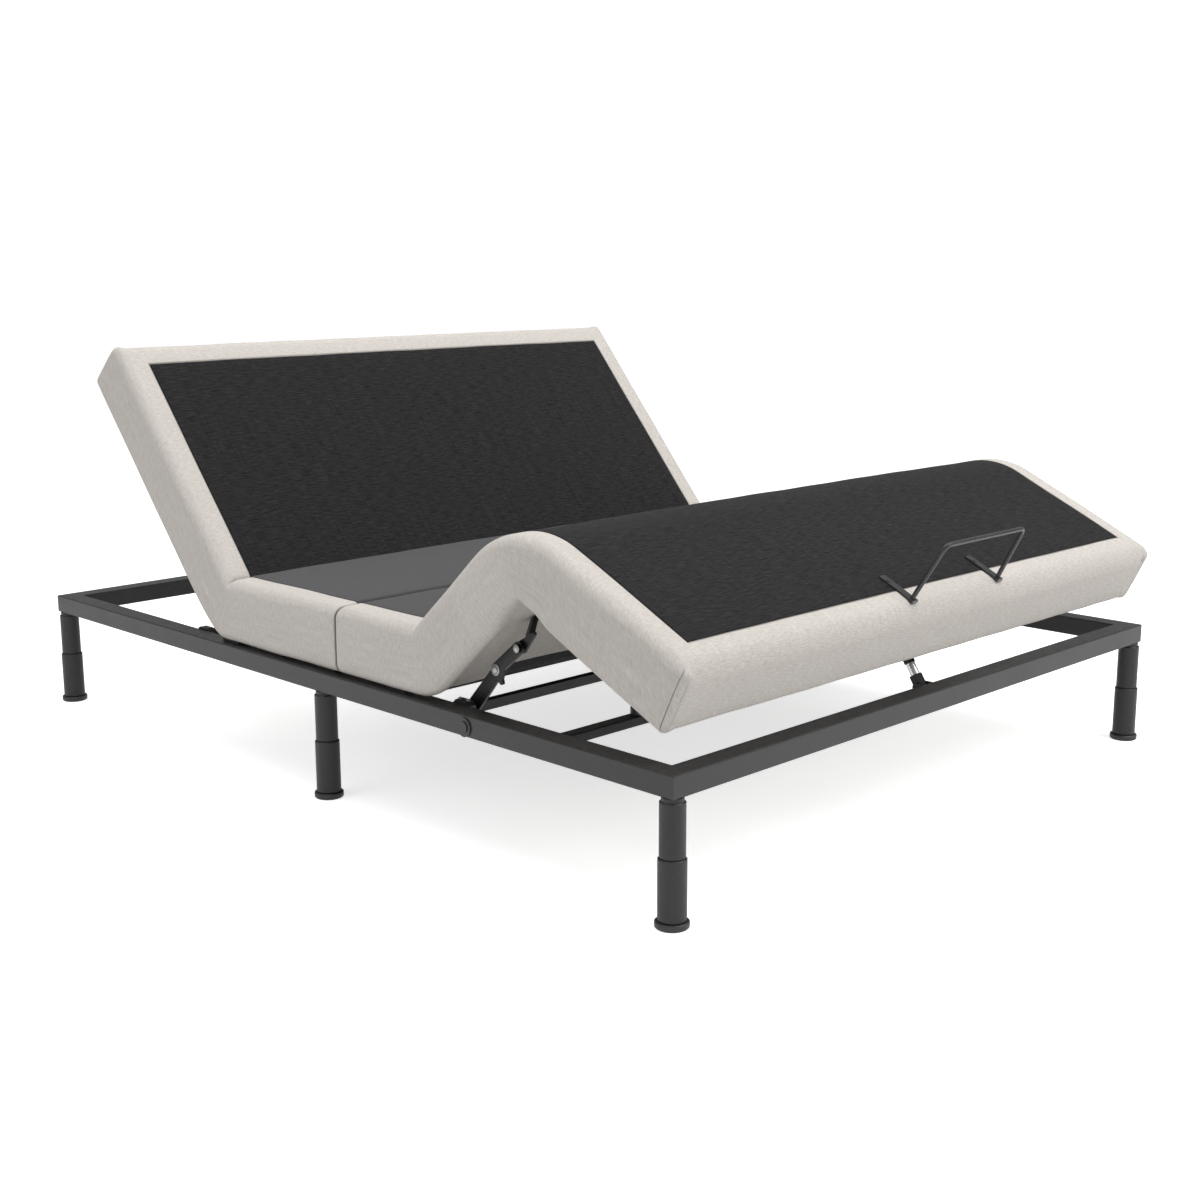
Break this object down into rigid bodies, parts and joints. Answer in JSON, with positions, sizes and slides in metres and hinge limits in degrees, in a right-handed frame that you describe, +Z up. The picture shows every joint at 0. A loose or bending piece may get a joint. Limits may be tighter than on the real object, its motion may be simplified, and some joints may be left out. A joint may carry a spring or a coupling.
{
  "type": "adjustable bed base",
  "caption": "Motorised bed base: steel ring frame on round legs with an upholstered deck whose head, thigh and foot sections fold up on hinges.",
  "frame": {"origin": "middle of the footprint, on the floor", "axes": "+Z up, +Y towards the head end, +X across the bed"},
  "size_m": [1.546, 2.0929, 0.8729],
  "materials": {
    "frame_paint": "satin gunmetal powder coat",
    "leg_paint": "matt grey powder coat",
    "mechanism_paint": "satin black paint",
    "zinc": "zinc plate",
    "black_plastic": "moulded black plastic",
    "plywood": "plain plywood",
    "linen_cover": "beige linen-look upholstery cloth with cross slubs",
    "charcoal_cloth": "charcoal ribbed top cloth"
  },
  "bodies": {
    "root": {"side_rail_left": "frame_paint", "side_rail_right": "frame_paint", "head_rail": "frame_paint", "foot_rail": "frame_paint", "seat_beam": "frame_paint", "actuator_beam": "frame_paint", "hinge_beam": "frame_paint", "foot_beam": "frame_paint", "seat_spacers": "black_plastic", "rest_bumpers": "black_plastic", "rail_caps": "black_plastic", "leg_upper_sections": "leg_paint", "leg_lower_sections": "leg_paint", "leg_glides": "black_plastic", "leg_studs_and_nuts": "zinc", "seat_boards": "plywood", "seat_head_cushion": "linen_cover", "seat_foot_cushion": "linen_cover", "seat_hinge_leaves": "mechanism_paint", "seat_hinge_pins": "zinc", "shaft_blocks": "black_plastic", "block_bolts": "zinc", "actuator_brackets": "mechanism_paint", "control_box": "black_plastic", "mains_inlet": "black_plastic", "support_bracket": "mechanism_paint"},
    "head": {"head_board": "plywood", "head_cushion": "linen_cover", "head_hinge_leaves": "mechanism_paint", "head_runners": "black_plastic"},
    "thigh": {"thigh_board": "plywood", "thigh_cushion": "linen_cover", "thigh_hinge_leaves": "mechanism_paint", "knee_hinge_pins": "zinc", "thigh_brackets": "mechanism_paint", "thigh_gusset": "linen_cover"},
    "foot": {"foot_board": "plywood", "foot_cushion": "linen_cover", "foot_hinge_leaves": "mechanism_paint", "foot_runner": "black_plastic", "retainer_bar": "mechanism_paint", "retainer_bolts": "zinc", "knee_gusset": "charcoal_cloth"},
    "foot_lift": {"foot_lift_shaft": "mechanism_paint", "lift_arms": "mechanism_paint", "foot_crank": "mechanism_paint"},
    "lift_links": {"lift_links": "mechanism_paint", "elbow_bolts": "zinc"},
    "head_lift": {"head_lift_shaft": "mechanism_paint", "head_lift_arms": "mechanism_paint"},
    "head_rollers": {"head_rollers": "black_plastic"},
    "head_actuator": {"head_actuator_housing": "black_plastic", "head_actuator_motor": "mechanism_paint"},
    "head_rod": {"head_actuator_rod": "zinc"},
    "foot_actuator": {"foot_actuator_housing": "black_plastic", "foot_actuator_motor": "mechanism_paint"},
    "foot_rod": {"foot_actuator_rod": "zinc"},
    "support_arm": {"support_arm": "mechanism_paint", "support_sleeve": "zinc"},
    "support_roller": {"support_roller": "black_plastic"}
  },
  "joints": [
    {"name": "head_tilt", "type": "hinge", "parent": "root", "child": "head", "pos_m": [0, 0.34395, 0.285], "axis": [1, 0, 0], "range_deg": [-49.5, 0]},
    {"name": "thigh_tilt", "type": "hinge", "parent": "root", "child": "thigh", "pos_m": [0, -0.32705, 0.387], "axis": [-1, 0, 0], "range_deg": [-41.9, 0], "deforming": ["thigh_gusset"]},
    {"name": "knee_bend", "type": "hinge", "parent": "thigh", "child": "foot", "pos_m": [0, -0.60559, 0.49988], "axis": [1, 0, 0], "range_deg": [-67.51, 0], "deforming": ["knee_gusset"]},
    {"name": "foot_shaft_turn", "type": "hinge", "parent": "root", "child": "foot_lift", "pos_m": [0, -0.41655, 0.247], "axis": [1, 0, 0], "range_deg": [0, 102.68]},
    {"name": "lift_link_turn", "type": "hinge", "parent": "thigh", "child": "lift_links", "pos_m": [0, -0.55255, 0.383], "axis": [1, 0, 0], "range_deg": [-86.62, 0]},
    {"name": "head_shaft_turn", "type": "hinge", "parent": "root", "child": "head_lift", "pos_m": [0, 0.45545, 0.245], "axis": [1, 0, 0], "range_deg": [-61, 0]},
    {"name": "head_roller_spin", "type": "hinge", "parent": "head_lift", "child": "head_rollers", "pos_m": [0, 0.62537, 0.55753], "axis": [1, 0, 0], "continuous": true},
    {"name": "head_actuator_swing", "type": "hinge", "parent": "root", "child": "head_actuator", "pos_m": [0, 0.15045, 0.205], "axis": [1, 0, 0], "range_deg": [-2.01, 0]},
    {"name": "head_rod_slide", "type": "slide", "parent": "head_actuator", "child": "head_rod", "axis": [0, 0.9942, -0.1078], "range_m": [-0.09083, 0]},
    {"name": "foot_actuator_swing", "type": "hinge", "parent": "root", "child": "foot_actuator", "pos_m": [0, 0.06045, 0.205], "axis": [1, 0, 0], "range_deg": [0, 1.5]},
    {"name": "foot_rod_slide", "type": "slide", "parent": "foot_actuator", "child": "foot_rod", "axis": [0, -1, -0.005], "range_m": [-0.12441, 0]},
    {"name": "support_turn", "type": "hinge", "parent": "root", "child": "support_arm", "pos_m": [0, -0.92455, 0.252], "axis": [1, 0, 0], "range_deg": [-52.63, 0]},
    {"name": "support_roller_spin", "type": "hinge", "parent": "support_arm", "child": "support_roller", "pos_m": [0, -0.86049, 0.35228], "axis": [1, 0, 0], "continuous": true}
  ],
  "couplings": [
    {"joint": "knee_bend", "follows": "thigh_tilt", "ratio": 1.6108},
    {"joint": "foot_shaft_turn", "follows": "thigh_tilt", "ratio": -2.45},
    {"joint": "lift_link_turn", "follows": "thigh_tilt", "ratio": 2.0668},
    {"joint": "foot_actuator_swing", "follows": "thigh_tilt", "ratio": -0.035253},
    {"joint": "foot_rod_slide", "follows": "thigh_tilt", "m_per_rad": 0.16999},
    {"joint": "support_turn", "follows": "thigh_tilt", "ratio": 1.2556},
    {"joint": "head_shaft_turn", "follows": "head_tilt", "ratio": 1.232},
    {"joint": "head_actuator_swing", "follows": "head_tilt", "ratio": 0.040153},
    {"joint": "head_rod_slide", "follows": "head_tilt", "m_per_rad": 0.10502}
  ]
}
